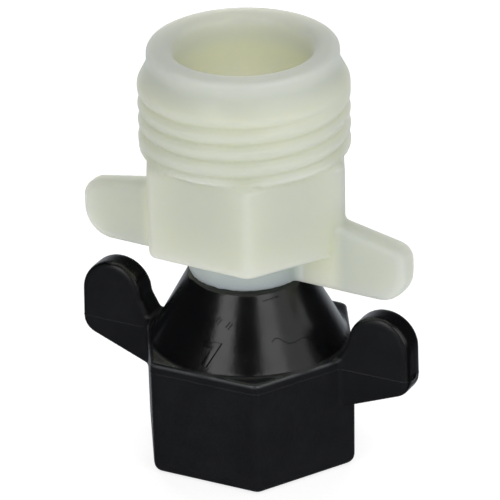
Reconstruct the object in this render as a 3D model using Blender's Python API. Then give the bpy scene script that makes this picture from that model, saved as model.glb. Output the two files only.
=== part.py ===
"""Swivel hose adapter with a wing nut: a threaded natural nylon adapter turning in a black wing nut.

Units are metres, +Z runs up the thread axis, the origin is the middle of the nut's end face,
and all four wings lie in the XZ plane.
"""

import math

import bmesh
import bpy
from mathutils import Matrix

MM = 0.001

# Clearance that every pair of neighbouring pieces keeps.
GAP = 0.3 * MM
ROUND_SEGMENTS = 56
HELIX_STEPS = 40

# Wing nut, measured up from its end face.
NUT_ACROSS_FLATS = 26.1 * MM
NUT_HEX_HEIGHT = 15.9 * MM
NUT_HEIGHT = 25.2 * MM
NUT_CONE_BASE_RADIUS = 12.7 * MM
NUT_CONE_TOP_RADIUS = 7.65 * MM
NUT_EDGE_ROUND = 1.3 * MM
NUT_CORNER_ROUND = 0.6 * MM
NUT_SHOULDER_ROUND = 0.3 * MM
NUT_THREAD_MAJOR = 20.96 * MM
NUT_THREAD_MINOR = 18.64 * MM
NUT_THREAD_PITCH = 25.4 / 14 * MM
NUT_THREAD_LENGTH = 12.0 * MM
NUT_THREAD_PHASE = math.radians(2)
NUT_CAVITY_RADIUS = 9.8 * MM
NUT_CAVITY_WAIST = 16.4 * MM
NUT_CAVITY_TOP_RADIUS = 7.5 * MM
NUT_NECK_RADIUS = 6.2 * MM
NUT_NECK_LENGTH = 4.0 * MM

# Ears of the wing nut, as an outline in the XZ plane.
EAR_THICKNESS = 4.0 * MM
EAR_EDGE_ROUND = 0.7 * MM
EAR_TIP = 23.4 * MM
EAR_LOBE_RADIUS = 4.3 * MM
EAR_TOP = 22.6 * MM
EAR_HEEL_HEIGHT = 9.3 * MM
EAR_UNDERSIDE_ANGLE = math.radians(22)
EAR_CORNER_RADIUS = 2.3 * MM

# Adapter, measured up from the face that sits on the nut, and its rest turn against the nut.
ADAPTER_SEAT = NUT_HEIGHT + GAP
ADAPTER_TURN = math.radians(-2.5)
HUB_RADIUS = 7.55 * MM
HEX_BOTTOM = 4.7 * MM
HEX_TOP = 16.9 * MM
ADAPTER_ACROSS_FLATS = 24.9 * MM
ADAPTER_EDGE_ROUND = 0.7 * MM
ADAPTER_CORNER_ROUND = 0.6 * MM
HOSE_THREAD_MAJOR = 26.9 * MM
HOSE_THREAD_MINOR = 24.3 * MM
HOSE_THREAD_PITCH = 25.4 / 11.5 * MM
HOSE_THREAD_TURNS = 3.5
HOSE_THREAD_BOTTOM = 17.65 * MM
HOSE_THREAD_PHASE = math.radians(187)
LEAD_IN_BOTTOM = 26.2 * MM
LEAD_IN_TOP = 28.6 * MM
RIM_RADIUS = 12.2 * MM
RIM_HEIGHT = 30.9 * MM
RIM_ROUND = 0.7 * MM
BORE_RADIUS = 8.85 * MM
BORE_FLOOR = 8.6 * MM
BORE_FLOOR_SLOPE = 1.0 * MM

# Tail of the adapter: the stem in the nut's neck and the flange that the nut is pushed over.
STEM_RADIUS = NUT_NECK_RADIUS - GAP
STEM_LENGTH = 5.1 * MM
FLANGE_RADIUS = 7.0 * MM
FLANGE_LAND = 1.0 * MM
TAIL_LENGTH = 9.1 * MM
TAIL_END_RADIUS = 6.3 * MM
TAIL_BORE_RADIUS = 4.8 * MM

# Wings of the adapter, as an outline in the XZ plane.
WING_THICKNESS = 3.5 * MM
WING_EDGE_ROUND = 0.9 * MM
WING_TIP = 23.5 * MM
WING_TOP_AT_HEX = 9.2 * MM
WING_TOP_FALL_ANGLE = math.radians(10.5)
WING_UPPER_CORNER = 2.2 * MM
WING_LOWER_CORNER = 4.0 * MM

# Rubber washer between the tail and whatever the nut is screwed to.
WASHER_OUTER_RADIUS = 9.4 * MM
WASHER_INNER_RADIUS = 4.9 * MM
WASHER_THICKNESS = 2.4 * MM
WASHER_HEIGHT = ADAPTER_SEAT - TAIL_LENGTH - GAP - WASHER_THICKNESS

# Sides of a cutter that stand clear of the face they cut through.
OVERCUT = 1.0 * MM


def clear_scene():
    for old in list(bpy.data.objects):
        bpy.data.objects.remove(old, do_unlink=True)


def make_material(name, colour, roughness, transmission=0.0):
    material = bpy.data.materials.new(name)
    material.use_nodes = True
    shader = material.node_tree.nodes["Principled BSDF"]
    shader.inputs["Base Color"].default_value = (*colour, 1.0)
    shader.inputs["Roughness"].default_value = roughness
    shader.inputs["Metallic"].default_value = 0.0
    shader.inputs["Transmission Weight"].default_value = transmission
    material.diffuse_color = (*colour, 1.0)
    return material


def object_from(name, work):
    """Turn a bmesh into an object with its faces pointing out."""
    bmesh.ops.recalc_face_normals(work, faces=work.faces)
    mesh = bpy.data.meshes.new(name)
    work.to_mesh(mesh)
    work.free()
    made = bpy.data.objects.new(name, mesh)
    bpy.context.collection.objects.link(made)
    return made


def arc(centre, radius, start, end, steps):
    """Points of an arc in a plane, angles in degrees."""
    points = []
    for step in range(steps + 1):
        angle = math.radians(start + (end - start) * step / steps)
        points.append((centre[0] + radius * math.cos(angle), centre[1] + radius * math.sin(angle)))
    return points


def turned(name, profile, closed=False, segments=ROUND_SEGMENTS):
    """Turn (radius, height) points about Z; an open profile gets flat end caps."""
    work = bmesh.new()
    rings = []
    for radius, height in profile:
        ring = []
        for step in range(segments):
            angle = math.tau * step / segments
            ring.append(work.verts.new((radius * math.cos(angle), radius * math.sin(angle), height)))
        rings.append(ring)
    pairs = list(zip(rings, rings[1:]))
    if closed:
        pairs.append((rings[-1], rings[0]))
    else:
        work.faces.new(rings[0])
        work.faces.new(rings[-1])
    for lower, upper in pairs:
        for step in range(segments):
            following = (step + 1) % segments
            work.faces.new((lower[step], lower[following], upper[following], upper[step]))
    return object_from(name, work)


def hexagon(name, across_flats, bottom, top, corner_round, bottom_round, top_round):
    """A hexagonal prism with corners on X and rounded edges."""
    work = bmesh.new()
    radius = across_flats / math.sqrt(3)
    base = bmesh.ops.create_circle(work, cap_ends=True, segments=6, radius=radius)["verts"]
    bmesh.ops.rotate(work, verts=base, matrix=Matrix.Rotation(math.radians(90), 3, "Z"))
    bmesh.ops.translate(work, verts=base, vec=(0, 0, bottom))
    lifted = bmesh.ops.extrude_face_region(work, geom=list(work.faces))["geom"]
    risen = [item for item in lifted if isinstance(item, bmesh.types.BMVert)]
    bmesh.ops.translate(work, verts=risen, vec=(0, 0, top - bottom))
    upright = [edge for edge in work.edges if abs(edge.verts[0].co.z - edge.verts[1].co.z) > OVERCUT]
    bmesh.ops.bevel(work, geom=upright, offset=corner_round, segments=2, profile=0.5, affect="EDGES")
    for height, size, steps in ((bottom, bottom_round, 3), (top, top_round, 2)):
        rim = [edge for edge in work.edges if all(abs(v.co.z - height) < GAP / 10 for v in edge.verts)]
        bmesh.ops.bevel(work, geom=rim, offset=size, segments=steps, profile=0.5, affect="EDGES")
    return object_from(name, work)


def plate(name, outline, thickness, edge_round, side):
    """Extrude an XZ outline along Y and round its edges; side is +1 or -1 along X."""
    work = bmesh.new()
    face = work.faces.new([work.verts.new((side * x, -thickness / 2, z)) for x, z in outline])
    lifted = bmesh.ops.extrude_face_region(work, geom=[face])["geom"]
    far = [item for item in lifted if isinstance(item, bmesh.types.BMVert)]
    bmesh.ops.translate(work, verts=far, vec=(0, thickness, 0))
    rims = [edge for edge in work.edges if abs(edge.verts[0].co.y - edge.verts[1].co.y) < GAP / 10]
    bmesh.ops.bevel(work, geom=rims, offset=edge_round, segments=2, profile=0.5, affect="EDGES")
    return object_from(name, work)


def helical_cutter(name, root, crest, pitch, start, phase, turns, fade_turns):
    """A cutter for a vee groove between two radii that winds up from a height.

    root is the groove's deepest radius and crest the radius of the surface that it is cut in.
    phase is the angle about Z where it starts, off the corners of the round that it cuts.
    fade_turns is how much of a turn the groove takes to run out at its lower and upper end.
    """
    half_mouth = 0.43 * pitch
    half_floor = 0.08 * pitch
    outward = math.copysign(1, crest - root)
    mouth = crest + outward * 0.05 * MM
    outside = crest + outward * 0.4 * MM
    section = [(root, -half_floor), (mouth, -half_mouth), (outside, -half_mouth),
               (outside, half_mouth), (mouth, half_mouth), (root, half_floor)]
    work = bmesh.new()
    steps = round(turns * HELIX_STEPS)
    rings = []
    for step in range(steps + 1):
        turned_by = step / HELIX_STEPS
        shallow = 0.0
        if fade_turns[0] > 0:
            shallow = max(shallow, 1 - turned_by / fade_turns[0])
        if fade_turns[1] > 0:
            shallow = max(shallow, 1 - (turns - turned_by) / fade_turns[1])
        lift = shallow * (crest - root) * 1.1
        angle = math.tau * turned_by + phase
        height = start + pitch * turned_by
        ring = []
        for radius, offset in section:
            reach = radius + lift
            ring.append(work.verts.new((reach * math.cos(angle), reach * math.sin(angle), height + offset)))
        rings.append(ring)
    count = len(section)
    for near, far in zip(rings, rings[1:]):
        for side in range(count):
            following = (side + 1) % count
            work.faces.new((near[side], near[following], far[following], far[side]))
    work.faces.new(rings[0])
    work.faces.new(rings[-1])
    return object_from(name, work)


def boolean(target, tools, operation):
    """Join the tools to the target, or cut them from it, and remove them."""
    for tool in tools:
        modifier = target.modifiers.new(tool.name, "BOOLEAN")
        modifier.operation = operation
        modifier.object = tool
        modifier.solver = "EXACT"
    evaluated = target.evaluated_get(bpy.context.evaluated_depsgraph_get())
    target.data = bpy.data.meshes.new_from_object(evaluated)
    target.modifiers.clear()
    for tool in tools:
        bpy.data.objects.remove(tool, do_unlink=True)


def finish(piece, name, material, height, turn=0.0):
    """Name and paint a piece, turn it about Z and lift it to its height."""
    piece.data.transform(Matrix.Rotation(turn, 4, "Z"))
    piece.name = name
    piece.data.name = name
    piece.data.materials.clear()
    piece.data.materials.append(material)
    piece.data.shade_smooth()
    piece.data.set_sharp_from_angle(angle=math.radians(32))
    piece.location.z = height


def ear_outline():
    """Outline of one ear: a sloping underside, a round outer corner and a round lobe on top."""
    lobe = (EAR_TIP - EAR_LOBE_RADIUS, EAR_TOP - EAR_LOBE_RADIUS)
    corner_x = EAR_TIP - EAR_CORNER_RADIUS
    heel_x = NUT_ACROSS_FLATS / math.sqrt(3)
    slope = math.tan(EAR_UNDERSIDE_ANGLE)
    underside_lift = EAR_CORNER_RADIUS / math.cos(EAR_UNDERSIDE_ANGLE)
    corner = (corner_x, EAR_HEEL_HEIGHT + slope * (corner_x - heel_x) + underside_lift)
    inside_x = 10.6 * MM
    buried = 3 * MM
    outline = [(inside_x, EAR_HEEL_HEIGHT + slope * (inside_x - heel_x))]
    outline += arc(corner, EAR_CORNER_RADIUS, -90 + math.degrees(EAR_UNDERSIDE_ANGLE), 0, 5)
    outline += arc(lobe, EAR_LOBE_RADIUS, 0, 180, 14)
    outline.append((lobe[0] - EAR_LOBE_RADIUS - 1.3 * MM, NUT_HEX_HEIGHT))
    outline.append((inside_x, NUT_HEX_HEIGHT - buried))
    return outline


def wing_outline():
    """Outline of one adapter wing: flat underside, falling top, tight upper and wide lower corner."""
    fall = math.tan(WING_TOP_FALL_ANGLE)
    hex_corner = ADAPTER_ACROSS_FLATS / math.sqrt(3)
    inside_x = HUB_RADIUS - 1.2 * MM
    upper_x = WING_TIP - WING_UPPER_CORNER
    drop = WING_UPPER_CORNER / math.cos(WING_TOP_FALL_ANGLE)
    upper = (upper_x, WING_TOP_AT_HEX - fall * (upper_x - hex_corner) - drop)
    lower = (WING_TIP - WING_LOWER_CORNER, WING_LOWER_CORNER)
    outline = [(inside_x, 0)]
    outline += arc(lower, WING_LOWER_CORNER, -90, 0, 6)
    outline += arc(upper, WING_UPPER_CORNER, 0, 90 - math.degrees(WING_TOP_FALL_ANGLE), 4)
    outline.append((hex_corner - 3 * MM, WING_TOP_AT_HEX + fall * 3 * MM))
    outline.append((inside_x, HEX_BOTTOM + 2 * MM))
    return outline


def nut_bore():
    """The hollow of the nut: threaded mouth, washer space, tapered cavity and neck."""
    minor = NUT_THREAD_MINOR / 2
    major = NUT_THREAD_MAJOR / 2
    neck_bottom = NUT_HEIGHT - NUT_NECK_LENGTH
    mouth_bevel = major - minor + 0.2 * MM
    profile = [
        (major + 0.2 * MM + OVERCUT, -OVERCUT),
        (major + 0.2 * MM, 0),
        (minor, mouth_bevel),
        (minor, NUT_THREAD_LENGTH),
        (NUT_CAVITY_RADIUS, NUT_THREAD_LENGTH + 0.5 * MM),
        (NUT_CAVITY_RADIUS, NUT_CAVITY_WAIST),
        (NUT_CAVITY_TOP_RADIUS, neck_bottom),
        (NUT_NECK_RADIUS, neck_bottom),
        (NUT_NECK_RADIUS, NUT_HEIGHT + OVERCUT),
    ]
    return turned("nut_bore", profile)


def build_wing_nut(material):
    nut = hexagon("wing_nut", NUT_ACROSS_FLATS, 0, NUT_HEX_HEIGHT,
                  NUT_CORNER_ROUND, NUT_EDGE_ROUND, NUT_SHOULDER_ROUND)
    cone = turned("cone", [(NUT_CONE_BASE_RADIUS, NUT_HEX_HEIGHT - OVERCUT),
                           (NUT_CONE_BASE_RADIUS, NUT_HEX_HEIGHT + 0.05 * MM),
                           (NUT_CONE_TOP_RADIUS, NUT_HEIGHT)])
    ears = [plate(f"ear{side}", ear_outline(), EAR_THICKNESS, EAR_EDGE_ROUND, side) for side in (1, -1)]
    boolean(nut, [cone] + ears, "UNION")
    boolean(nut, [nut_bore()], "DIFFERENCE")
    groove_start = -0.6 * NUT_THREAD_PITCH
    turns = (NUT_THREAD_LENGTH - groove_start) / NUT_THREAD_PITCH - 0.3
    groove = helical_cutter("nut_thread", NUT_THREAD_MAJOR / 2, NUT_THREAD_MINOR / 2, NUT_THREAD_PITCH,
                            groove_start, NUT_THREAD_PHASE, turns, (0, 0.3))
    boolean(nut, [groove], "DIFFERENCE")
    finish(nut, "wing_nut", material, 0)
    return nut


def adapter_outside():
    """The turned outside of the adapter from its tail to its rim, without bore or thread."""
    major = HOSE_THREAD_MAJOR / 2
    profile = [
        (TAIL_END_RADIUS, -TAIL_LENGTH),
        (FLANGE_RADIUS, -STEM_LENGTH - FLANGE_LAND),
        (FLANGE_RADIUS, -STEM_LENGTH),
        (STEM_RADIUS, -STEM_LENGTH),
        (STEM_RADIUS, 0),
        (HUB_RADIUS, 0),
        (HUB_RADIUS, HEX_BOTTOM + OVERCUT),
        (HOSE_THREAD_MINOR / 2, HEX_BOTTOM + OVERCUT),
        (HOSE_THREAD_MINOR / 2, HEX_TOP + 0.05 * MM),
        (major, HEX_TOP + 0.5 * MM),
        (major, LEAD_IN_BOTTOM),
        (RIM_RADIUS, LEAD_IN_TOP),
    ]
    profile += arc((RIM_RADIUS - RIM_ROUND, RIM_HEIGHT - RIM_ROUND), RIM_ROUND, 0, 90, 3)
    return turned("adapter_body", profile)


def adapter_bore():
    """The waterway: a narrow bore through the tail opening into the wide bore of the thread."""
    profile = [
        (TAIL_BORE_RADIUS, -TAIL_LENGTH - OVERCUT),
        (TAIL_BORE_RADIUS, BORE_FLOOR - BORE_FLOOR_SLOPE),
        (BORE_RADIUS, BORE_FLOOR),
    ]
    profile += arc((BORE_RADIUS + RIM_ROUND, RIM_HEIGHT - RIM_ROUND), RIM_ROUND, 180, 90, 3)
    profile.append((BORE_RADIUS + RIM_ROUND, RIM_HEIGHT + OVERCUT))
    return turned("adapter_bore", profile)


def build_adapter(material):
    body = adapter_outside()
    hexagonal = hexagon("adapter_hex", ADAPTER_ACROSS_FLATS, HEX_BOTTOM, HEX_TOP,
                        ADAPTER_CORNER_ROUND, ADAPTER_EDGE_ROUND, ADAPTER_EDGE_ROUND / 2)
    wings = [plate(f"wing{side}", wing_outline(), WING_THICKNESS, WING_EDGE_ROUND, side)
             for side in (1, -1)]
    boolean(body, [hexagonal] + wings, "UNION")
    boolean(body, [adapter_bore()], "DIFFERENCE")
    groove = helical_cutter("hose_thread", HOSE_THREAD_MINOR / 2, HOSE_THREAD_MAJOR / 2, HOSE_THREAD_PITCH,
                            HOSE_THREAD_BOTTOM, HOSE_THREAD_PHASE, HOSE_THREAD_TURNS, (0.2, 0.2))
    boolean(body, [groove], "DIFFERENCE")
    finish(body, "adapter_body", material, ADAPTER_SEAT, ADAPTER_TURN)
    return body


def build_washer(material):
    washer = turned("sealing_washer", [
        (WASHER_INNER_RADIUS, 0),
        (WASHER_OUTER_RADIUS, 0),
        (WASHER_OUTER_RADIUS, WASHER_THICKNESS),
        (WASHER_INNER_RADIUS, WASHER_THICKNESS),
    ], closed=True)
    finish(washer, "sealing_washer", material, WASHER_HEIGHT)
    return washer


def main():
    clear_scene()
    natural_nylon = make_material("natural_nylon", (0.66, 0.68, 0.55), 0.38, 0.25)
    black_nylon = make_material("black_nylon", (0.012, 0.012, 0.014), 0.3)
    black_rubber = make_material("black_rubber", (0.02, 0.02, 0.02), 0.7)
    build_wing_nut(black_nylon)
    build_adapter(natural_nylon)
    build_washer(black_rubber)


main()
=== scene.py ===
"""Finished look of a swivel hose adapter with a wing nut, modelled round its packed mechanical parts.

Units are metres and +Z runs up the thread axis. A black nylon wing nut turns on the tail of a
natural nylon hose adapter, and a rubber washer lies inside the nut under the tail.
"""

import math

import bmesh
import bpy
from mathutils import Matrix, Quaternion, Vector


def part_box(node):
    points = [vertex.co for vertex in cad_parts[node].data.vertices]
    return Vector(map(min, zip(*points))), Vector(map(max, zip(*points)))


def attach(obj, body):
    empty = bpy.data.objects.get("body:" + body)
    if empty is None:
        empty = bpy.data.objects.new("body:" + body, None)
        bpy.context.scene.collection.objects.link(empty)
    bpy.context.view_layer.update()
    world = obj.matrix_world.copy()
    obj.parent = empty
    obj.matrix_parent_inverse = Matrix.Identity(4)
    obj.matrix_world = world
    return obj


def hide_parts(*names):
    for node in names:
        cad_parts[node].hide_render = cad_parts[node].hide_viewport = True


bl_info = {
    "name": "Wing Nut Swivel Adapter",
    "version": (1, 0, 0),
    "blender": (4, 5, 0),
    "location": "View3D > Sidebar > Wing Nut",
    "description": "Models a wing nut, the hose adapter that it swivels on and their washer",
    "category": "Add Mesh",
}

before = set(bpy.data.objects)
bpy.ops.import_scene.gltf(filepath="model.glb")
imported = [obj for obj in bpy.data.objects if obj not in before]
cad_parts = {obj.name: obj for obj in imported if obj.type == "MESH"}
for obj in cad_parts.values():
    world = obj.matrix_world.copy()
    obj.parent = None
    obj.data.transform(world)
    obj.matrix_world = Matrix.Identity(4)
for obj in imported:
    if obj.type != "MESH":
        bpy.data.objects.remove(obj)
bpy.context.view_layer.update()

MM = 0.001
NEAR = 0.001 * MM  # points closer than this are one point
PAST = MM  # how far a cutter reaches past the face that it opens
FADE = 0.5 * MM  # width of the soft border between two finishes
HEX_CORNER = 2 / math.sqrt(3)  # a hexagon's width over corners for a width of 1 over flats
ROUND_STEPS = 144
SMOOTHING_PASSES = 2

NUT_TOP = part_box("wing_nut")[1]
ADAPTER_BOTTOM, ADAPTER_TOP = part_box("adapter_body")
WASHER_BOTTOM, WASHER_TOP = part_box("sealing_washer")
SEAT_GAP = 0.3 * MM  # running gap between the nut and the adapter
SEAT = NUT_TOP.z + SEAT_GAP  # height that the adapter's own heights are measured from
ADAPTER_FOOT = ADAPTER_BOTTOM.z - SEAT
ADAPTER_RIM = ADAPTER_TOP.z - SEAT
NECK_RADIUS = 6.2 * MM


def size(label, description, default):
    """A length that a user can change."""
    return bpy.props.FloatProperty(name=label, description=description, default=default,
                                   min=0, precision=5, subtype="DISTANCE", unit="LENGTH")


def angle(label, description, degrees):
    """An angle that a user can change."""
    return bpy.props.FloatProperty(name=label, description=description, default=math.radians(degrees),
                                   subtype="ANGLE", unit="ROTATION")


def colour(label, description, default):
    """A colour that a user can change."""
    return bpy.props.FloatVectorProperty(name=label, description=description, default=default,
                                         size=3, min=0, max=1, subtype="COLOR")


def share(label, description, default):
    """A setting from 0 to 1 that a user can change."""
    return bpy.props.FloatProperty(name=label, description=description, default=default,
                                   min=0, max=1, subtype="FACTOR")


class NutSettings(bpy.types.PropertyGroup):
    """Sizes and finish of the black wing nut."""

    across_flats: size("Across flats", "Width of the hexagon between flats", 2 * NUT_TOP.y)
    hex_height: size("Hexagon height", "Height of the hexagon's top face", 15.9 * MM)
    cone_base: size("Cone base radius", "Radius of the cone on the hexagon", 12.7 * MM)
    cone_top: size("Cone top radius", "Radius of the cone under the adapter", 7.65 * MM)
    foot_round: size("Foot round", "Round of the hexagon's lower edge", 1.3 * MM)
    shoulder_round: size("Shoulder round", "Round of the hexagon's upper edge", 0.3 * MM)
    corner_round: size("Corner round", "Round of the hexagon's upright edges", 0.6 * MM)
    draft: angle("Draft", "Lean of the moulded faces away from the parting line", 0.5)
    parting: size("Parting height", "Height of the mould's parting line", 14.5 * MM)
    flash_width: size("Flash width", "Width of the raised parting line", 0.26 * MM)
    flash: size("Flash height", "How far the parting line stands proud", 0.045 * MM)
    ear_thickness: size("Ear thickness", "Thickness of an ear at the parting line", 4.0 * MM)
    ear_lean: angle("Ear lean", "Lean of an ear's faces away from the parting line", 1.5)
    ear_round: size("Ear round", "Round of an ear's rim", 0.6 * MM)
    lobe_radius: size("Lobe radius", "Radius of an ear's round top", 4.3 * MM)
    ear_top: size("Ear top", "Height of an ear's top", 22.6 * MM)
    heel_height: size("Heel height", "Height where an ear's underside leaves the hexagon", 9.3 * MM)
    underside: angle("Underside", "Slope of an ear's underside", 22)
    ear_corner: size("Ear corner radius", "Radius of an ear's lower outer corner", 2.3 * MM)
    nub_inset: size("Bulge inset", "How far an ear's tip bulge is centred inside the tip", 0.55 * MM)
    thread_major: size("Thread major", "Major diameter of the inside thread", 20.96 * MM)
    thread_minor: size("Thread minor", "Minor diameter of the inside thread", 18.64 * MM)
    thread_pitch: size("Thread pitch", "Pitch of the inside thread", 25.4 / 14 * MM)
    thread_length: size("Thread length", "Depth of the inside thread", 12.0 * MM)
    thread_phase: angle("Thread phase", "Turn of the inside thread about its axis", 2)
    cavity_radius: size("Cavity radius", "Radius of the washer's space", 9.8 * MM)
    cavity_waist: size("Cavity waist", "Height where the cavity starts to narrow", 16.4 * MM)
    cavity_top: size("Cavity top radius", "Radius of the cavity under the neck", 7.5 * MM)
    neck_radius: size("Neck radius", "Radius of the neck round the adapter's stem", NECK_RADIUS)
    neck_length: size("Neck length", "Length of the neck", 4.0 * MM)
    mark_width: size("Mark width", "Width of the raised flow marks on the cone", 0.15 * MM)
    digit: bpy.props.StringProperty(name="Cavity number", description="Raised number on the cone",
                                    default="7")
    digit_height: size("Number height", "Height of the raised number", 2.9 * MM)
    digit_relief: size("Number relief", "How far the number stands proud", 0.16 * MM)
    digit_weight: size("Number weight", "How far the number's strokes are widened", 0.17 * MM)
    digit_bevel: size("Number bevel", "Bevel of the number's edges", 0.06 * MM)
    tone: colour("Colour", "Colour of the polished black nylon", (0.0030, 0.0032, 0.0037))
    # Painted sheen: the flats' black is lighter than the cone's, standing in for the sheen that their rough
    # gloss spreads.
    satin_sheen_tone: colour("Satin colour", "Colour of the satin flats", (0.0068, 0.0074, 0.0090))
    # Painted highlight: a light grey along the hexagon's upper edge, standing in for the light that the edge
    # catches.
    edge_highlight_tone: colour("Worn colour", "Colour of the hexagon's rubbed upper edge", (0.055, 0.057, 0.060))
    gloss: share("Gloss roughness", "Roughness of the polished cone", 0.21)
    satin: share("Satin roughness", "Roughness of the flats", 0.42)
    # An ear's rim from here out is polished, and its colour there is darkened as painted shade.
    rim_gloss_and_shade_start: size("Gloss start", "Distance from the axis where an ear's polished rim starts", 15.1 * MM)
    # Where the upper edge's polish and its painted highlight end at an ear.
    edge_polish_and_highlight_end: size("Worn end", "Distance from the axis where the rubbed edge ends at an ear", 13.4 * MM)
    mesh_spacing: size("Mesh spacing", "Spacing of the skin's even mesh", 0.27 * MM)


class AdapterSettings(bpy.types.PropertyGroup):
    """Sizes and finish of the natural nylon hose adapter. Heights are above its seat on the nut."""

    hub_radius: size("Hub radius", "Radius of the hub under the hexagon", 7.55 * MM)
    hex_bottom: size("Hexagon bottom", "Height of the hexagon's lower face", 4.7 * MM)
    hex_top: size("Hexagon top", "Height of the hexagon's upper face", 16.9 * MM)
    across_flats: size("Across flats", "Width of the hexagon between flats", 24.9 * MM)
    edge_round: size("Edge round", "Round of the hexagon's edges", 0.7 * MM)
    draft: angle("Draft", "Lean of the hexagon's faces", 0.2)
    thread_major: size("Thread major", "Major diameter of the hose thread", 26.9 * MM)
    thread_minor: size("Thread minor", "Minor diameter of the hose thread", 24.3 * MM)
    thread_fill: size("Thread fill", "How far the mould's round roots fill the thread", 0.65 * MM)
    thread_pitch: size("Thread pitch", "Pitch of the hose thread", 25.4 / 11.5 * MM)
    thread_start: size("Thread start", "Height of the first groove", 17.65 * MM)
    thread_turns: bpy.props.FloatProperty(name="Thread turns", description="Turns of the hose thread",
                                          default=3.5, min=1, max=12)
    thread_phase: angle("Thread phase", "Turn of the hose thread about its axis", 187)
    lead_in_bottom: size("Lead-in bottom", "Height where the thread's lead-in starts", 26.2 * MM)
    lead_in_top: size("Lead-in top", "Height where the lead-in meets the rim", 28.6 * MM)
    rim_radius: size("Rim radius", "Outer radius of the rim", 12.2 * MM)
    rim_round: size("Rim round", "Round of the rim's outer edge", 0.7 * MM)
    mouth_round: size("Mouth round", "Round of the bore's upper edge", 1.3 * MM)
    bore_radius: size("Bore radius", "Radius of the wide bore", 8.85 * MM)
    bore_floor: size("Bore floor", "Height of the wide bore's floor", 8.6 * MM)
    floor_slope: size("Floor slope", "Fall of the floor to the narrow bore", 1.0 * MM)
    tail_bore: size("Tail bore radius", "Radius of the narrow bore through the tail", 4.8 * MM)
    stem_radius: size("Stem radius", "Radius of the stem in the nut's neck", NECK_RADIUS - SEAT_GAP)
    stem_length: size("Stem length", "Length of the stem in the nut's neck", 5.1 * MM)
    flange_radius: size("Flange radius", "Radius of the flange inside the nut", 7.0 * MM)
    flange_land: size("Flange land", "Width of the flange's straight edge", 1.0 * MM)
    tail_radius: size("Tail radius", "Radius of the tail's end", 6.3 * MM)
    wing_thickness: size("Wing thickness", "Thickness of a wing", 3.5 * MM)
    wing_round: size("Wing round", "Round of a wing's rim", 1.0 * MM)
    wing_tip: size("Wing tip", "Distance of a wing's tip from the thread axis", 23.5 * MM)
    wing_top: size("Wing top", "Height of a wing where it meets the hexagon", 9.2 * MM)
    wing_fall: angle("Wing fall", "Slope of a wing's top edge", 10.5)
    upper_corner: size("Upper corner", "Radius of a wing's upper outer corner", 2.2 * MM)
    lower_corner: size("Lower corner", "Radius of a wing's lower outer corner", 4.0 * MM)
    turn: angle("Turn", "Turn of the adapter in its swivel", -2.5)
    tone: colour("Colour", "Colour of the natural nylon", (0.680, 0.712, 0.600))
    # Painted light: the inside of the bore is painted lighter than the rest of the nylon.
    bore_light_tone: colour("Deep colour", "Colour deep inside the bore", (0.905, 0.920, 0.850))
    # Painted shade: the rim is painted darker and bluer than the rest of the nylon.
    rim_shade_tone: colour("Rim colour", "Colour of the rim", (0.610, 0.645, 0.595))
    # Painted shade: the thin wings are painted darker and bluer than the thick body.
    wing_shade_tone: colour("Thin colour", "Colour of the thin wings", (0.520, 0.555, 0.530))
    # Painted shade: the hub under the hexagon, beside the black nut, is painted a cooler, darker colour.
    hub_shade_tone: colour("Hub colour", "Colour of the hub over the black nut", (0.620, 0.710, 0.640))
    roughness: share("Roughness", "Roughness of the moulded surface", 0.33)
    depth: size("Glow depth", "How far light spreads inside the nylon", 12 * MM)
    # These two set where the wings' painted shade fades in.
    thin_start: size("Thin start", "Distance from the axis where a wing starts to look thin", 12.8 * MM)
    thin_full: size("Thin full", "Distance from the axis where a wing looks thinnest", 15.2 * MM)
    mesh_spacing: size("Mesh spacing", "Spacing of the skin's even mesh", 0.29 * MM)


class WasherSettings(bpy.types.PropertyGroup):
    """Sizes and finish of the rubber washer."""

    bore_radius: size("Bore radius", "Radius of the washer's hole", 4.9 * MM)
    edge_round: size("Edge round", "Round of the washer's edges", 0.35 * MM)
    tone: colour("Colour", "Colour of the rubber", (0.018, 0.018, 0.019))
    roughness: share("Roughness", "Roughness of the rubber", 0.72)


class StudioSettings(bpy.types.PropertyGroup):
    """Camera, lights and floor."""

    azimuth: angle("Azimuth", "Camera's turn round the object", 27.52)
    elevation: angle("Elevation", "Camera's angle above the horizon", 26.03)
    roll: angle("Roll", "Camera's tilt about its own line of sight", -1.3)
    distance: size("Distance", "Camera's distance from the object", 662 * MM)
    lens: bpy.props.FloatProperty(name="Lens", description="Focal length in millimetres",
                                  default=373.8, min=20, subtype="DISTANCE_CAMERA")
    aim_height: size("Aim height", "Height that the camera looks at", 28 * MM)
    aim_right: size("Aim right", "How far right of the thread axis the camera looks", 0.33 * MM)
    aim_down: size("Aim down", "How far below the aim height the camera looks", 0.27 * MM)
    floor_tone: colour("Floor", "Colour of the floor", (0.45, 0.45, 0.45))
    floor_glow: share("Floor glow", "Light that the pale floor gives from below", 0.80)
    room_tone: colour("Room", "Colour of the room's soft light", (0.10, 0.10, 0.10))
    dark_tone: colour("Dark room", "Colour that most of the room gives to reflections", (0.02, 0.02, 0.022))
    horizon_tone: colour("Horizon", "Colour that the bright floor behind the object gives to reflections",
                         (0.55, 0.58, 0.62))
    horizon_dip: share("Horizon dip", "Slope at which the bright zone lies below the level", 0.35)
    horizon_start: share("Horizon start", "Cosine of the angle where the bright zone starts", 0.66)
    horizon_full: share("Horizon full", "Cosine of the angle where the bright zone is full", 0.97)


# Modelling by hand


def set_active(piece):
    """Leave any edit, select this piece alone and make it the one in hand."""
    if bpy.context.object and bpy.context.object.mode != "OBJECT":
        bpy.ops.object.mode_set(mode="OBJECT")
    bpy.ops.object.select_all(action="DESELECT")
    if piece:
        piece.select_set(True)
        bpy.context.view_layer.objects.active = piece


def settle(name):
    """Name the piece in hand, and move its place, turn and scale into its mesh."""
    piece = bpy.context.object
    bpy.ops.object.mode_set(mode="OBJECT")
    bpy.ops.object.transform_apply(location=True, rotation=True, scale=True)
    piece.name = name
    piece.data.name = name
    return piece


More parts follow.
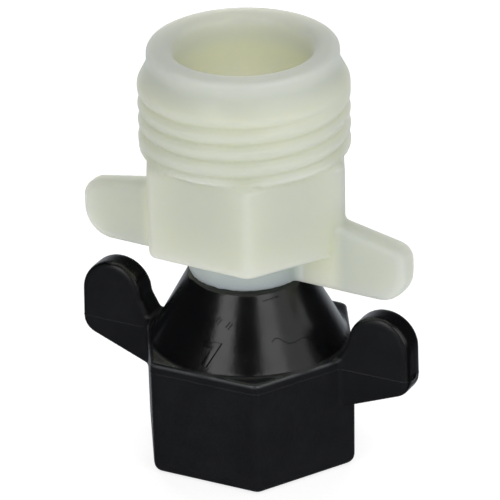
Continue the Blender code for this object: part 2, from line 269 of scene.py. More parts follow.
def pick(kind, test):
    """In edit mode, select only the verts, edges or faces of the piece in hand that pass a test."""
    bpy.ops.mesh.select_mode(type={"verts": "VERT", "edges": "EDGE", "faces": "FACE"}[kind])
    bpy.ops.mesh.select_all(action="DESELECT")
    mesh = bpy.context.object.data
    work = bmesh.from_edit_mesh(mesh)
    picked = [item for item in getattr(work, kind) if test(item)]
    if not picked:
        raise RuntimeError(f"no {kind} of {mesh.name} pass the test")
    for item in picked:
        item.select_set(True)
    work.select_flush_mode()
    bmesh.update_edit_mesh(mesh)


def arc(centre, radius, start, end, steps):
    """Points of an arc in the XZ plane, angles in degrees."""
    points = []
    for step in range(steps + 1):
        bearing = math.radians(start + (end - start) * step / steps)
        points.append((centre[0] + radius * math.cos(bearing), centre[1] + radius * math.sin(bearing)))
    return points


def draw_line(route, closed=False):
    """Start a new piece in edit mode with a line drawn from point to point by extrusion."""
    set_active(None)
    bpy.ops.mesh.primitive_plane_add(size=MM)
    bpy.ops.object.mode_set(mode="EDIT")
    bpy.ops.mesh.select_mode(type="VERT")
    bpy.ops.mesh.select_all(action="SELECT")
    bpy.ops.mesh.merge(type="CENTER")
    bpy.ops.transform.translate(value=route[0])
    for start, end in zip(route, route[1:] + route[:1] if closed else route[1:]):
        bpy.ops.mesh.extrude_region_move(TRANSFORM_OT_translate={"value": end - start})


def trace(points, closed):
    """Draw a line from (x, z) point to point in the XZ plane, and leave all of it selected."""
    draw_line([Vector((x, 0, z)) for x, z in points], closed)
    bpy.ops.mesh.select_all(action="SELECT")
    bpy.ops.mesh.remove_doubles(threshold=NEAR)


def turn(name, points, closed=False):
    """Turn a line about the Z axis into a closed round solid."""
    trace(points, closed)
    bpy.ops.mesh.spin(steps=ROUND_STEPS, angle=math.tau, center=(0, 0, 0), axis=(0, 0, 1))
    bpy.ops.mesh.select_all(action="SELECT")
    bpy.ops.mesh.remove_doubles(threshold=NEAR)
    bpy.ops.mesh.dissolve_degenerate(threshold=NEAR)
    bpy.ops.mesh.select_all(action="SELECT")
    bpy.ops.mesh.normals_make_consistent(inside=False)
    return settle(name)


def slab(name, points, thickness, rounding, lean=0.0, lean_height=0.0):
    """Extrude an outline to a slab centred on the XZ plane and round its rims.

    With a lean, the slab is thickest at lean_height and thins above and below it.
    """
    trace(points, True)
    bpy.ops.mesh.edge_face_add()
    bpy.ops.transform.translate(value=(0, -thickness / 2, 0))
    bpy.ops.mesh.extrude_region_move(TRANSFORM_OT_translate={"value": (0, thickness, 0)})
    if lean:
        bpy.ops.mesh.select_all(action="SELECT")
        bpy.ops.mesh.bisect(plane_co=(0, 0, lean_height), plane_no=(0, 0, 1), threshold=NEAR)
        for x, z in points:
            pick("verts", lambda vert: abs(vert.co.x - x) < NEAR and abs(vert.co.z - z) < NEAR)
            thinner = min(math.tan(lean) * abs(z - lean_height), thickness / 3)
            bpy.ops.transform.resize(value=(1, 1 - 2 * thinner / thickness, 1), center_override=(0, 0, 0))
    bpy.ops.mesh.select_all(action="SELECT")
    bpy.ops.mesh.normals_make_consistent(inside=False)
    pick("edges", lambda edge: edge.verts[0].co.y * edge.verts[1].co.y > 0 and edge.calc_face_angle() > 0.6)
    bpy.ops.mesh.bevel(offset=rounding, segments=4, affect="EDGES")
    return settle(name)


def hexagon(name, across_flats, bottom, top, corner_round, foot_round, shoulder_round, draft):
    """A hexagonal prism with corners on the X axis, narrower at its foot, with rounded edges."""
    set_active(None)
    middle = (top + bottom) / 2
    bpy.ops.mesh.primitive_cylinder_add(vertices=6, radius=across_flats / 2 * HEX_CORNER, depth=top - bottom,
                                        location=(0, 0, middle), rotation=(0, 0, math.radians(30)))
    settle(name)
    bpy.ops.object.mode_set(mode="EDIT")
    pick("verts", lambda vert: vert.co.z < middle)
    narrower = 1 - 2 * (top - bottom) * math.tan(draft) / across_flats
    bpy.ops.transform.resize(value=(narrower, narrower, 1), center_override=(0, 0, 0))
    pick("edges", lambda edge: abs(edge.verts[0].co.z - edge.verts[1].co.z) > MM)
    bpy.ops.mesh.bevel(offset=corner_round, segments=4, affect="EDGES")
    for height, rounding in ((bottom, foot_round), (top, shoulder_round)):
        pick("edges", lambda edge: all(abs(vert.co.z - height) < NEAR for vert in edge.verts))
        bpy.ops.mesh.bevel(offset=rounding, segments=5, affect="EDGES")
    return settle(name)


def groove(name, root, crest, pitch, start, turns, phase, fades):
    """A cutter for a vee groove between two radii that winds up from a height, closed at both ends.

    fades is the share of a turn that the groove takes to run out at its lower and upper end.
    The vee ends just past the crest, and a straight collar takes the cutter well clear of the piece.
    """
    mouth = crest + math.copysign(0.05 * MM, crest - root)
    outside = crest + math.copysign(0.5 * MM, crest - root)
    half_mouth = 0.37 * pitch
    half_floor = 0.07 * pitch
    section = [(root, start - half_floor), (mouth, start - half_mouth), (outside, start - half_mouth),
               (outside, start + half_mouth), (mouth, start + half_mouth), (root, start + half_floor)]
    trace(section, True)
    bpy.ops.object.mode_set(mode="OBJECT")
    cutter = bpy.context.object
    steps = round(turns * ROUND_STEPS / 2)
    winding = cutter.modifiers.new("winding", "SCREW")
    winding.angle = math.tau * turns
    winding.screw_offset = pitch * turns
    winding.steps = steps
    winding.render_steps = steps
    winding.use_merge_vertices = False
    bpy.ops.object.modifier_apply(modifier=winding.name)
    bpy.ops.object.mode_set(mode="EDIT")
    for ring in range(steps + 1):
        gone = ring / steps * turns
        run_outs = [1 - distance / fade for distance, fade in zip((gone, turns - gone), fades) if fade]
        if max(run_outs) > 0:
            lift = max(run_outs) * (crest - root) * 1.1
            pick("verts", lambda vert: vert.index // len(section) == ring)
            side = Vector((math.cos(math.tau * gone), math.sin(math.tau * gone), 0))
            bpy.ops.transform.translate(value=side * lift)
    bpy.ops.mesh.select_mode(type="EDGE")
    bpy.ops.mesh.select_all(action="DESELECT")
    bpy.ops.mesh.select_non_manifold()
    bpy.ops.mesh.fill_holes(sides=len(section))
    bpy.ops.mesh.select_all(action="SELECT")
    bpy.ops.mesh.normals_make_consistent(inside=False)
    bpy.ops.object.mode_set(mode="OBJECT")
    cutter.rotation_euler.z = phase
    return settle(name)


def combine(piece, tools, operation):
    """Join tools to a piece or cut them from it, and remove them."""
    set_active(piece)
    for tool in tools:
        modifier = piece.modifiers.new(tool.name, "BOOLEAN")
        modifier.operation = operation
        modifier.solver = "EXACT"
        modifier.object = tool
        bpy.ops.object.modifier_apply(modifier=modifier.name)
        bpy.data.objects.remove(tool, do_unlink=True)


def mould(piece, spacing):
    """Give a piece an even fine mesh, and soften its edges and inner corners as moulding does."""
    set_active(piece)
    remesh = piece.modifiers.new("even mesh", "REMESH")
    remesh.mode = "VOXEL"
    remesh.voxel_size = spacing
    bpy.ops.object.modifier_apply(modifier=remesh.name)
    bpy.ops.object.mode_set(mode="EDIT")
    bpy.ops.mesh.select_all(action="SELECT")
    bpy.ops.mesh.vertices_smooth(factor=0.5, repeat=SMOOTHING_PASSES)
    bpy.ops.object.mode_set(mode="OBJECT")
    bpy.ops.object.shade_smooth()


def place(piece, material, node, body):
    """Finish a piece with its material, and let it stand for its mechanical part."""
    piece.data.materials.clear()
    piece.data.materials.append(material)
    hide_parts(node)
    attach(piece, body)


# Materials


class Nodes:
    """A node tree, written as short steps."""

    def __init__(self, tree):
        self.tree = tree

    def add(self, kind, links=None, **settings):
        """Add a node, and plug values or other nodes' outputs into its inputs."""
        node = self.tree.nodes.new(kind)
        for key, value in settings.items():
            setattr(node, key, value)
        for socket, value in (links or {}).items():
            self.plug(node.inputs[socket], value)
        return node

    def plug(self, socket, value):
        """Link an output to a socket, or set the socket's own value."""
        if isinstance(value, bpy.types.NodeSocket):
            self.tree.links.new(value, socket)
        else:
            socket.default_value = value

    def maths(self, operation, first, second=0.0):
        return self.add("ShaderNodeMath", {0: first, 1: second}, operation=operation).outputs[0]

    def ramp(self, value, low, high, start=0.0, end=1.0):
        """Blend smoothly from start to end as a value goes from low to high."""
        links = {"Value": value, "From Min": low, "From Max": high, "To Min": start, "To Max": end}
        node = self.add("ShaderNodeMapRange", links, interpolation_type="SMOOTHSTEP")
        return node.outputs["Result"]

    def mix(self, factor, first, second):
        """Blend two colours."""
        node = self.add("ShaderNodeMix", data_type="RGBA")
        for socket, value in (("Factor_Float", factor), ("A_Color", first), ("B_Color", second)):
            target = next(item for item in node.inputs if item.identifier == socket)
            self.plug(target, value)
        return next(item for item in node.outputs if item.identifier == "Result_Color")


class Recipe(Nodes):
    """A material's node tree, with patterns on Object coordinates."""

    def __init__(self, name):
        self.material = bpy.data.materials.new(name)
        self.material.use_nodes = True
        super().__init__(self.material.node_tree)
        self.shader = self.tree.nodes["Principled BSDF"]
        self.place = self.add("ShaderNodeTexCoord").outputs["Object"]

    def noise(self, scale, detail=2.0, roughness=0.5):
        """Cloudy noise with about this many patches to the metre."""
        links = {"Vector": self.place, "Scale": scale, "Detail": detail, "Roughness": roughness}
        return self.add("ShaderNodeTexNoise", links).outputs["Fac"]

    def bump(self, height, distance, strength=1.0, under=None):
        """A bumped normal, on top of another one if it is given."""
        links = {"Height": height, "Distance": distance, "Strength": strength}
        if under:
            links["Normal"] = under
        return self.add("ShaderNodeBump", links).outputs["Normal"]

    def overlap(self, *masks):
        """The part of the surface that all the masks share."""
        shared = masks[0]
        for mask in masks[1:]:
            shared = self.maths("MULTIPLY", shared, mask)
        return shared

    def axes(self):
        """The place's parts, and its distance from the thread axis."""
        parts = self.add("ShaderNodeSeparateXYZ", {0: self.place}).outputs
        radius = self.maths("SQRT", self.maths("ADD", self.maths("MULTIPLY", parts[0], parts[0]),
                                               self.maths("MULTIPLY", parts[1], parts[1])))
        return parts[0], parts[1], parts[2], radius

    def set(self, **values):
        """Set the shader's own inputs by their names."""
        for label, value in values.items():
            self.plug(self.shader.inputs[label.replace("_", " ")], value)


def shade(tone, strength=1.0):
    """A colour for a socket, made darker or lighter by its strength."""
    return (*(part * strength for part in tone), 1.0)


def black_nylon(sizes):
    """Black nylon: satin and speckled on the flats, polished on the cone and on the ears' rims.
    The flats' black is lightened as painted sheen, and the ears' rims are darkened as painted shade.

    The hexagon's upper edge is polished too, with a thin grey line on it that is a painted highlight.
    """
    recipe = Recipe("black_nylon")
    across, depth, height, radius = recipe.axes()
    across = recipe.maths("ABSOLUTE", across)
    depth = recipe.maths("ABSOLUTE", depth)
    top = sizes.hex_height
    base = sizes.cone_base
    half = sizes.ear_thickness / 2
    cone = recipe.overlap(recipe.ramp(height, top - 0.1 * MM, top + 0.3 * MM),
                          recipe.ramp(radius, base + 0.2 * MM, base))
    # An ear's rim: polished, and painted darker as painted shade.
    ear_rim_gloss_and_shade = recipe.overlap(recipe.ramp(across, sizes.rim_gloss_and_shade_start, sizes.rim_gloss_and_shade_start + FADE),
                             recipe.ramp(depth, half - 0.15 * MM, half - FADE))
    # The hexagon's upper edge: polished, and the ground of the painted highlight line.
    hex_edge = recipe.overlap(recipe.ramp(height, top - 0.6 * MM, top - 0.3 * MM),
                              recipe.ramp(radius, base + 0.2 * MM, base + 0.4 * MM),
                              recipe.ramp(across, sizes.edge_polish_and_highlight_end, sizes.edge_polish_and_highlight_end - FADE))
    # The thin line of painted highlight along the hexagon's upper edge.
    edge_highlight_line = recipe.overlap(hex_edge, recipe.ramp(height, top - 0.05 * MM, top - 0.2 * MM))
    speckle = recipe.noise(2600, detail=3, roughness=0.6)
    cloud = recipe.noise(240, detail=3, roughness=0.55)
    satin = recipe.ramp(speckle, 0.3, 0.7, sizes.satin - 0.05, sizes.satin + 0.07)
    gloss = recipe.ramp(cloud, 0.3, 0.7, sizes.gloss - 0.03, sizes.gloss + 0.05)
    off_cone = recipe.maths("SUBTRACT", 1.0, cone)
    roughness = recipe.maths("ADD", recipe.overlap(satin, off_cone), recipe.overlap(gloss, cone))
    polished = recipe.maths("MAXIMUM", ear_rim_gloss_and_shade, hex_edge)
    roughness = recipe.ramp(polished, 0, 1, roughness, sizes.gloss + 0.06)
    # The flats' black, lightened as painted sheen, varies at random in cloudy patches.
    tone = recipe.mix(recipe.ramp(cloud, 0.35, 0.75), shade(sizes.satin_sheen_tone), shade(sizes.satin_sheen_tone, 1.35))
    tone = recipe.mix(cone, tone, shade(sizes.tone))
    # Painted shade: the ears' rims get a quarter of the flats' black.
    tone = recipe.mix(ear_rim_gloss_and_shade, tone, shade(sizes.satin_sheen_tone, 0.25))
    # Painted highlight: the grey line along the hexagon's upper edge.
    tone = recipe.mix(edge_highlight_line, tone, shade(sizes.edge_highlight_tone))
    fine = recipe.bump(speckle, 0.012 * MM, strength=0.6)
    grain = recipe.bump(recipe.noise(900), 0.02 * MM, strength=0.6, under=fine)
    grain = recipe.bump(recipe.noise(330), 0.05 * MM, strength=0.5, under=grain)
    recipe.set(Base_Color=tone, Roughness=roughness, Normal=grain, IOR=1.58)
    return recipe.material


def natural_nylon(sizes):
    """Milky natural nylon; painted light lightens the bore's depth, painted shade darkens the rim and wings
    and cools the hub.
    """
    recipe = Recipe("natural_nylon")
    across, _, height, radius = recipe.axes()
    lead_in_top = SEAT + sizes.lead_in_top
    hub_top = SEAT + sizes.hex_bottom
    # The rim, from the lead-in up, painted darker as painted shade.
    rim = recipe.ramp(height, SEAT + sizes.lead_in_bottom, lead_in_top)
    # Where the bore is painted lighter, as painted light.
    bore = recipe.overlap(recipe.ramp(radius, sizes.bore_radius + 0.6 * MM, sizes.bore_radius),
                          recipe.ramp(height, lead_in_top, SEAT + sizes.hex_top))
    # The wings, painted darker as painted shade.
    wing = recipe.ramp(recipe.maths("ABSOLUTE", across), sizes.thin_start, sizes.thin_full)
    # The hub under the adapter's hexagon, painted cooler as painted shade.
    hub = recipe.overlap(recipe.ramp(height, hub_top + 0.3 * MM, hub_top - 0.6 * MM),
                         recipe.ramp(radius, sizes.hub_radius + 2.5 * MM, sizes.hub_radius + 0.4 * MM))
    cloud = recipe.noise(90, detail=3)
    tone = recipe.mix(cloud, shade(sizes.tone), shade(sizes.tone, 0.97))
    # Painted shade on the rim.
    tone = recipe.mix(rim, tone, shade(sizes.rim_shade_tone))
    # Painted light deep in the bore.
    tone = recipe.mix(bore, tone, shade(sizes.bore_light_tone))
    # Painted shade on the thin wings.
    tone = recipe.mix(wing, tone, shade(sizes.wing_shade_tone))
    # Painted shade on the hub.
    tone = recipe.mix(hub, tone, shade(sizes.hub_shade_tone))
    skin = recipe.bump(recipe.noise(120, detail=1), 0.06 * MM, strength=0.4)
    recipe.set(Base_Color=tone, Roughness=sizes.roughness, Normal=skin, IOR=1.53, Specular_IOR_Level=0.35)
    recipe.set(Subsurface_Weight=1.0, Subsurface_Radius=(1.0, 0.95, 0.72), Subsurface_Scale=sizes.depth)
    return recipe.material


def black_rubber(sizes):
    """Matt black rubber with a dusty grain."""
    recipe = Recipe("black_rubber")
    grain = recipe.noise(2200, detail=3, roughness=0.6)
    dusty = recipe.ramp(recipe.noise(400, detail=3), 0.45, 0.8)
    tone = recipe.mix(dusty, shade(sizes.tone), shade(sizes.tone, 2.2))
    roughness = recipe.ramp(grain, 0.3, 0.7, sizes.roughness - 0.06, sizes.roughness + 0.08)
    skin = recipe.bump(grain, 0.03 * MM, strength=0.7)
    recipe.set(Base_Color=tone, Roughness=roughness, Normal=skin)
    return recipe.material


# Pieces


def ear_outline(sizes, side):
    """Outline of one ear: a sloping underside, a round outer corner and a round lobe on top."""
    tip = NUT_TOP.x
    lobe = (tip - sizes.lobe_radius, sizes.ear_top - sizes.lobe_radius)
    heel = sizes.across_flats / 2 * HEX_CORNER
    slope = math.tan(sizes.underside)
    corner_x = tip - sizes.ear_corner
    corner_z = sizes.heel_height + slope * (corner_x - heel) + sizes.ear_corner / math.cos(sizes.underside)
    inside = 10.6 * MM
    root_spread = 1.3 * MM
    root_depth = 3 * MM
    outline = [(inside, sizes.heel_height + slope * (inside - heel))]
    outline += arc((corner_x, corner_z), sizes.ear_corner, -90 + math.degrees(sizes.underside), 0, 8)
    outline += arc(lobe, sizes.lobe_radius, 0, 180, 24)
    outline.append((lobe[0] - sizes.lobe_radius - root_spread, sizes.hex_height))
    outline.append((inside, sizes.hex_height - root_depth))
    return [(side * x, z) for x, z in outline]


def nut_hollow(sizes):
    """The hollow of the nut: mouth, thread core, washer space, tapered cavity and neck."""
    mouth = sizes.thread_major / 2 + 0.2 * MM
    core = sizes.thread_minor / 2
    neck_bottom = NUT_TOP.z - sizes.neck_length
    return turn("hollow", [
        (0, -PAST), (mouth + PAST, -PAST), (mouth, 0), (core, mouth - core),
        (core, sizes.thread_length), (sizes.cavity_radius, sizes.thread_length + 0.5 * MM),
        (sizes.cavity_radius, sizes.cavity_waist), (sizes.cavity_top, neck_bottom),
        (sizes.neck_radius, neck_bottom), (sizes.neck_radius, NUT_TOP.z + PAST), (0, NUT_TOP.z + PAST),
    ])


def raise_parting_line(nut, sizes):
    """Raise the fine line that the mould's halves leave round the hexagon and the ears."""
    set_active(nut)
    bpy.ops.object.mode_set(mode="EDIT")
    for offset in (-0.5, 0, 0.5):
        bpy.ops.mesh.select_all(action="SELECT")
        bpy.ops.mesh.bisect(plane_co=(0, 0, sizes.parting + offset * sizes.flash_width), plane_no=(0, 0, 1),
                            threshold=NEAR)
    outside = sizes.across_flats / 2 - MM
    pick("verts", lambda vert: abs(vert.co.z - sizes.parting) < NEAR and vert.co.xy.length > outside)
    bpy.ops.transform.shrink_fatten(value=sizes.flash)
    bpy.ops.object.mode_set(mode="OBJECT")


def tip_nub(sizes, side):
    """The small bulge where the parting line runs round an ear's tip."""
    set_active(None)
    centre = (side * (NUT_TOP.x - sizes.nub_inset), 0, sizes.parting)
    flattening = (0.75, 1.5, 0.55)
    bpy.ops.mesh.primitive_uv_sphere_add(segments=24, ring_count=16, radius=MM, location=centre)
    bpy.context.object.scale = flattening
    return settle(f"nub{side}")


def on_cone(sizes, azimuth, height, proud=0.0):
    """A point on the nut's cone, azimuth in degrees, standing proud of it."""
    slope = (sizes.cone_base - sizes.cone_top) / (NUT_TOP.z - sizes.hex_height)
    reach = sizes.cone_base - slope * (height - sizes.hex_height) + proud
    bearing = math.radians(azimuth)
    return Vector((reach * math.cos(bearing), reach * math.sin(bearing), height))


def bead(name, points, thickness):
    """A thin round bead along a line of points."""
    draw_line(points)
    bpy.ops.object.mode_set(mode="OBJECT")
    bpy.ops.object.convert(target="CURVE")
    line = bpy.context.object.data
    line.bevel_depth = thickness / 2
    line.bevel_resolution = 2
    line.use_fill_caps = True
    bpy.ops.object.convert(target="MESH")
    return settle(name)


# The cone's raised marks, each point as its azimuth in degrees and its height in millimetres
WAVE = [(-47.0, 19.7), (-44.6, 20.0), (-42.3, 20.0), (-39.2, 19.6), (-35.0, 19.15),
        (-30.8, 19.1), (-25.5, 19.3), (-20.5, 19.2), (-16.8, 18.6), (-13.9, 17.9)]
SHORT_LINE = [(-49.5, 24.3), (-42, 24.45), (-34.4, 24.6)]
HOOK = [(-66.2, 18.2), (-63.7, 18.0), (-66.2, 17.7)]
TICKS = [(-87.3, 22.1), (-85.6, 21.9), (-78.7, 21.7), (-76.9, 21.5), (-70.9, 21.3), (-69.2, 21.1)]


def flow_marks(sizes):
    """The moulding's fine raised marks on the cone: a wave, a short line, a hook and slanted ticks."""
    half_turn = 1.6
    half_rise = 0.35
    ticks = [[(azimuth - half_turn, height - half_rise), (azimuth + half_turn, height + half_rise)]
             for azimuth, height in TICKS]
    sunk = 0.02 * MM
    marks = []
    for index, line in enumerate([WAVE, SHORT_LINE, HOOK, *ticks]):
        points = [on_cone(sizes, azimuth, height * MM, -sunk) for azimuth, height in line]
        marks.append(bead(f"mark{index}", points, sizes.mark_width))
    return marks


def raised_digit(sizes):
    """The mould cavity's number, standing proud of the cone."""
    slope = math.atan2(sizes.cone_base - sizes.cone_top, NUT_TOP.z - sizes.hex_height)
    azimuth = -88.5
    middle = 18.0 * MM
    digit_share = 0.7  # a digit's height as a share of its type size
    set_active(None)
    bpy.ops.object.text_add(location=on_cone(sizes, azimuth, middle),
                            rotation=(math.radians(90) - slope, 0, math.radians(azimuth + 90)))
    text = bpy.context.object.data
    text.body = sizes.digit
    text.size = sizes.digit_height / digit_share
    text.align_x = "CENTER"
    text.align_y = "CENTER"
    text.extrude = sizes.digit_relief
    text.offset = sizes.digit_weight
    text.bevel_depth = sizes.digit_bevel
    text.bevel_resolution = 1
    bpy.ops.object.convert(target="MESH")
    bpy.ops.object.mode_set(mode="EDIT")
    bpy.ops.mesh.select_all(action="SELECT")
    bpy.ops.mesh.remove_doubles(threshold=NEAR)
    return settle("digit")


def model_nut(sizes):
    """The whole skin of the wing nut."""
    nut = hexagon("wing_nut_skin", sizes.across_flats, 0, sizes.hex_height, sizes.corner_round,
                  sizes.foot_round, sizes.shoulder_round, sizes.draft)
    cone = turn("cone", [(0, sizes.hex_height - MM), (sizes.cone_base, sizes.hex_height - MM),
                         (sizes.cone_base, sizes.hex_height), (sizes.cone_top, NUT_TOP.z), (0, NUT_TOP.z)])
    ears = [slab(f"ear{side}", ear_outline(sizes, side), sizes.ear_thickness, sizes.ear_round,
                 sizes.ear_lean, sizes.parting) for side in (1, -1)]
    combine(nut, [cone, *ears], "UNION")
    lead = 0.6 * sizes.thread_pitch
    run_out = 0.3
    turns = (sizes.thread_length + lead) / sizes.thread_pitch - run_out
    thread = groove("thread", sizes.thread_major / 2, sizes.thread_minor / 2, sizes.thread_pitch, -lead,
                    turns, sizes.thread_phase, (0, run_out))
    combine(nut, [nut_hollow(sizes), thread], "DIFFERENCE")
    mould(nut, sizes.mesh_spacing)
    raise_parting_line(nut, sizes)
    nubs = [tip_nub(sizes, side) for side in (1, -1)]
    combine(nut, [*nubs, *flow_marks(sizes), raised_digit(sizes)], "UNION")
    set_active(nut)
    bpy.ops.object.shade_smooth_by_angle(angle=math.radians(50))
    return nut


def wing_outline(sizes, side):
    """Outline of one adapter wing: flat underside, falling top, tight upper and wide lower corner."""
    tip = sizes.wing_tip
    fall = math.tan(sizes.wing_fall)
    hex_corner = sizes.across_flats / 2 * HEX_CORNER
    inside = sizes.hub_radius - 1.2 * MM
    root_depth = 3 * MM
    upper_x = tip - sizes.upper_corner
    upper_z = sizes.wing_top - fall * (upper_x - hex_corner) - sizes.upper_corner / math.cos(sizes.wing_fall)
    outline = [(inside, 0)]
    outline += arc((tip - sizes.lower_corner, sizes.lower_corner), sizes.lower_corner, -90, 0, 12)
    outline += arc((upper_x, upper_z), sizes.upper_corner, 0, 90 - math.degrees(sizes.wing_fall), 8)
    outline.append((hex_corner - root_depth, sizes.wing_top + fall * root_depth))
    outline.append((inside, sizes.hex_bottom + 2 * MM))
    return [(side * x, SEAT + z) for x, z in outline]


def adapter_outside(sizes):
    """The turned outside of the adapter from its tail to its rim."""
    major = sizes.thread_major / 2
    minor = sizes.thread_minor / 2
    flange = -sizes.stem_length
    shoulder = 0.5 * MM
    profile = [
        (0, ADAPTER_FOOT), (sizes.tail_radius, ADAPTER_FOOT),
        (sizes.flange_radius, flange - sizes.flange_land), (sizes.flange_radius, flange),
        (sizes.stem_radius, flange), (sizes.stem_radius, 0), (sizes.hub_radius, 0),
        (sizes.hub_radius, sizes.hex_bottom + MM), (minor, sizes.hex_bottom + MM),
        (minor, sizes.hex_top + 0.05 * MM), (major, sizes.hex_top + shoulder),
        (major, sizes.lead_in_bottom), (sizes.rim_radius, sizes.lead_in_top),
    ]
    edge = sizes.rim_round
    profile += arc((sizes.rim_radius - edge, ADAPTER_RIM - edge), edge, 0, 90, 8)
    profile.append((0, ADAPTER_RIM))
    return turn("adapter_skin", [(x, SEAT + z) for x, z in profile])


def adapter_bore(sizes):
    """The waterway: a narrow bore through the tail opening into the wide bore of the thread."""
    profile = [(0, ADAPTER_FOOT - PAST), (sizes.tail_bore, ADAPTER_FOOT - PAST),
               (sizes.tail_bore, sizes.bore_floor - sizes.floor_slope), (sizes.bore_radius, sizes.bore_floor)]
    mouth = sizes.mouth_round
    profile += arc((sizes.bore_radius + mouth, ADAPTER_RIM - mouth), mouth, 180, 90, 10)
    profile += [(sizes.bore_radius + mouth, ADAPTER_RIM + PAST), (0, ADAPTER_RIM + PAST)]
    return turn("bore", [(x, SEAT + z) for x, z in profile])


def model_adapter(sizes):
    """The whole skin of the hose adapter."""
    adapter = adapter_outside(sizes)
    hexagonal = hexagon("adapter_hex", sizes.across_flats, SEAT + sizes.hex_bottom, SEAT + sizes.hex_top,
                        sizes.edge_round, sizes.edge_round, sizes.edge_round / 2, sizes.draft)
    wings = [slab(f"wing{side}", wing_outline(sizes, side), sizes.wing_thickness, sizes.wing_round)
             for side in (1, -1)]
    combine(adapter, [hexagonal, *wings], "UNION")
    root = sizes.thread_minor / 2 + sizes.thread_fill
    run_out = 0.2
    thread = groove("hose_thread", root, sizes.thread_major / 2, sizes.thread_pitch,
                    SEAT + sizes.thread_start, sizes.thread_turns, sizes.thread_phase, (run_out, run_out))
    combine(adapter, [adapter_bore(sizes), thread], "DIFFERENCE")
    mould(adapter, sizes.mesh_spacing)
    adapter.rotation_euler.z = sizes.turn
    return settle(adapter.name)


def model_washer(sizes):
    """The washer, turned from a rectangle with rounded corners."""
    outer = WASHER_TOP.x
    inner = sizes.bore_radius
    edge = sizes.edge_round
    top = WASHER_TOP.z - edge
    bottom = WASHER_BOTTOM.z + edge
    corners = [(outer - edge, top), (inner + edge, top), (inner + edge, bottom), (outer - edge, bottom)]
    profile = []
    for index, corner in enumerate(corners):
        profile += arc(corner, edge, 90 * index, 90 * index + 90, 4)
    washer = turn("washer_skin", profile, closed=True)
    set_active(washer)
    bpy.ops.object.shade_smooth_by_angle(angle=math.radians(40))
    return washer


# Stage


def towards(azimuth, elevation):
    """The direction from the object to something at an azimuth and an elevation."""
    level = math.cos(elevation)
    return Vector((math.sin(azimuth) * level, -math.cos(azimuth) * level, math.sin(elevation)))


def add_camera(studio):
    """The camera, looking at the object from its azimuth and elevation."""
    back = towards(studio.azimuth, studio.elevation)
    tilt = Quaternion(back, studio.roll)
    right = tilt @ Vector((math.cos(studio.azimuth), math.sin(studio.azimuth), 0))
    up = back.cross(right)
    aim = Vector((0, 0, studio.aim_height)) + right * studio.aim_right - up * studio.aim_down
    bpy.ops.object.camera_add(location=aim + back * studio.distance)
    camera = bpy.context.object
    camera.name = "camera"
    camera.rotation_mode = "QUATERNION"
    camera.rotation_quaternion = tilt @ back.to_track_quat("Z", "Y")
    camera.data.lens = studio.lens
    camera.data.clip_start = 10 * MM
    bpy.context.scene.camera = camera


def add_floor(studio):
    """A plain pale floor that glows a little and isn't seen in reflections."""
    bpy.ops.mesh.primitive_plane_add(size=6.0)
    floor = bpy.context.object
    floor.name = "floor"
    floor.visible_glossy = False
    paint = bpy.data.materials.new("floor_paint")
    paint.use_nodes = True
    surface = paint.node_tree.nodes["Principled BSDF"].inputs
    surface["Base Color"].default_value = shade(studio.floor_tone)
    surface["Roughness"].default_value = 0.9
    surface["Specular IOR Level"].default_value = 0.0
    surface["Emission Color"].default_value = (1, 1, 1, 1)
    surface["Emission Strength"].default_value = studio.floor_glow
    floor.data.materials.append(paint)


def add_softbox(studio, name, turn_by, elevation, width, height, watts, distance=0.42, mirrored=True):
    """A soft light aimed at the object. Glossy faces show it if it is mirrored.

    turn_by is its turn from the camera's side and elevation its height, both in degrees.
    """
    back = towards(studio.azimuth + math.radians(turn_by), math.radians(elevation))
    bpy.ops.object.light_add(type="AREA", location=Vector((0, 0, studio.aim_height)) + back * distance)
    lamp = bpy.context.object
    lamp.name = name
    lamp.rotation_mode = "QUATERNION"
    lamp.rotation_quaternion = back.to_track_quat("Z", "Y")
    lamp.data.shape = "RECTANGLE"
    lamp.data.size = width
    lamp.data.size_y = height
    lamp.data.energy = watts
    lamp.visible_glossy = mirrored


def add_lights(studio):
    """Softboxes beside the camera, to the side and overhead, and a rim light on each side behind."""
    add_softbox(studio, "left_softbox", turn_by=-37, elevation=30, width=0.19, height=0.40, watts=0.42)
    add_softbox(studio, "right_softbox", turn_by=30, elevation=30, width=0.19, height=0.40, watts=0.36)
    add_softbox(studio, "side_softbox", turn_by=70, elevation=30, width=0.36, height=0.40, watts=0.31)
    add_softbox(studio, "top_softbox", turn_by=10, elevation=62, width=0.34, height=0.24, watts=0.10,
                mirrored=False)
    add_softbox(studio, "right_rim", turn_by=165, elevation=25, width=0.3, height=0.3, watts=0.5,
                distance=0.5, mirrored=False)
    add_softbox(studio, "left_rim", turn_by=-165, elevation=25, width=0.3, height=0.3, watts=1.1,
                distance=0.5, mirrored=False)


def light_room(studio):
    """Soft light all round; reflections see a dark room with the bright floor behind the object."""
    world = bpy.data.worlds.new("room")
    bpy.context.scene.world = world
    world.use_nodes = True
    nodes = Nodes(world.node_tree)
    away = Vector((-math.sin(studio.azimuth), math.cos(studio.azimuth), -studio.horizon_dip)).normalized()
    direction = nodes.add("ShaderNodeTexCoord").outputs["Generated"]
    facing = nodes.add("ShaderNodeVectorMath", {0: direction, 1: away}, operation="DOT_PRODUCT")
    zone = nodes.ramp(facing.outputs["Value"], studio.horizon_start, studio.horizon_full)
    mirrored = nodes.mix(zone, shade(studio.dark_tone), shade(studio.horizon_tone))
    in_mirror = nodes.add("ShaderNodeLightPath").outputs["Is Glossy Ray"]
    light = nodes.mix(in_mirror, shade(studio.room_tone), mirrored)
    nodes.plug(world.node_tree.nodes["Background"].inputs["Color"], light)


# Operators


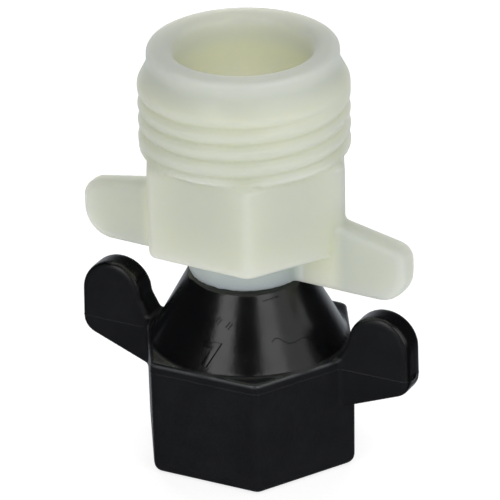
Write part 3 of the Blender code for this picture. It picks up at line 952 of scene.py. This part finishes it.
class WINGNUT_OT_nut(bpy.types.Operator):
    """Model the black wing nut with its cone, ears and inside thread"""

    bl_idname = "wing_nut.nut"
    bl_label = "Wing Nut"

    def execute(self, context):
        sizes = context.scene.wing_nut_sizes
        nut = model_nut(sizes)
        place(nut, black_nylon(sizes), "wing_nut", "nut")
        return {"FINISHED"}


class WINGNUT_OT_adapter(bpy.types.Operator):
    """Model the natural nylon hose adapter with its wings, hexagon and hose thread"""

    bl_idname = "wing_nut.adapter"
    bl_label = "Hose Adapter"

    def execute(self, context):
        sizes = context.scene.wing_nut_adapter
        adapter = model_adapter(sizes)
        place(adapter, natural_nylon(sizes), "adapter_body", "adapter")
        return {"FINISHED"}


class WINGNUT_OT_washer(bpy.types.Operator):
    """Model the rubber washer inside the nut"""

    bl_idname = "wing_nut.washer"
    bl_label = "Sealing Washer"

    def execute(self, context):
        sizes = context.scene.wing_nut_washer
        washer = model_washer(sizes)
        place(washer, black_rubber(sizes), "sealing_washer", "washer")
        return {"FINISHED"}


class WINGNUT_OT_studio(bpy.types.Operator):
    """Add the camera, the pale floor and the soft lights"""

    bl_idname = "wing_nut.studio"
    bl_label = "Studio"

    def execute(self, context):
        studio = context.scene.wing_nut_studio
        set_active(None)
        add_camera(studio)
        add_floor(studio)
        add_lights(studio)
        light_room(studio)
        context.scene.view_settings.view_transform = "Standard"
        return {"FINISHED"}


class WINGNUT_PT_sidebar(bpy.types.Panel):
    """Lists the pieces with their sizes and colours."""

    bl_idname = "WINGNUT_PT_sidebar"
    bl_label = "Wing Nut Swivel Adapter"
    bl_space_type = "VIEW_3D"
    bl_region_type = "UI"
    bl_category = "Wing Nut"

    def draw(self, context):
        for group, operator in GROUPS:
            box = self.layout.box()
            box.operator(operator)
            settings = getattr(context.scene, group)
            for name in settings.bl_rna.properties.keys():
                if name not in {"rna_type", "name"}:
                    box.prop(settings, name)


SETTINGS = {
    "wing_nut_sizes": NutSettings,
    "wing_nut_adapter": AdapterSettings,
    "wing_nut_washer": WasherSettings,
    "wing_nut_studio": StudioSettings,
}
GROUPS = [("wing_nut_sizes", "wing_nut.nut"), ("wing_nut_adapter", "wing_nut.adapter"),
          ("wing_nut_washer", "wing_nut.washer"), ("wing_nut_studio", "wing_nut.studio")]
CLASSES = [*SETTINGS.values(), WINGNUT_OT_nut, WINGNUT_OT_adapter, WINGNUT_OT_washer, WINGNUT_OT_studio,
           WINGNUT_PT_sidebar]


def register():
    for item in CLASSES:
        bpy.utils.register_class(item)
    for name, group in SETTINGS.items():
        setattr(bpy.types.Scene, name, bpy.props.PointerProperty(type=group))


def unregister():
    for name in SETTINGS:
        delattr(bpy.types.Scene, name)
    for item in reversed(CLASSES):
        bpy.utils.unregister_class(item)


def main():
    register()
    bpy.ops.wing_nut.nut()
    bpy.ops.wing_nut.adapter()
    bpy.ops.wing_nut.washer()
    bpy.ops.wing_nut.studio()


if __name__ == "__main__":
    main()
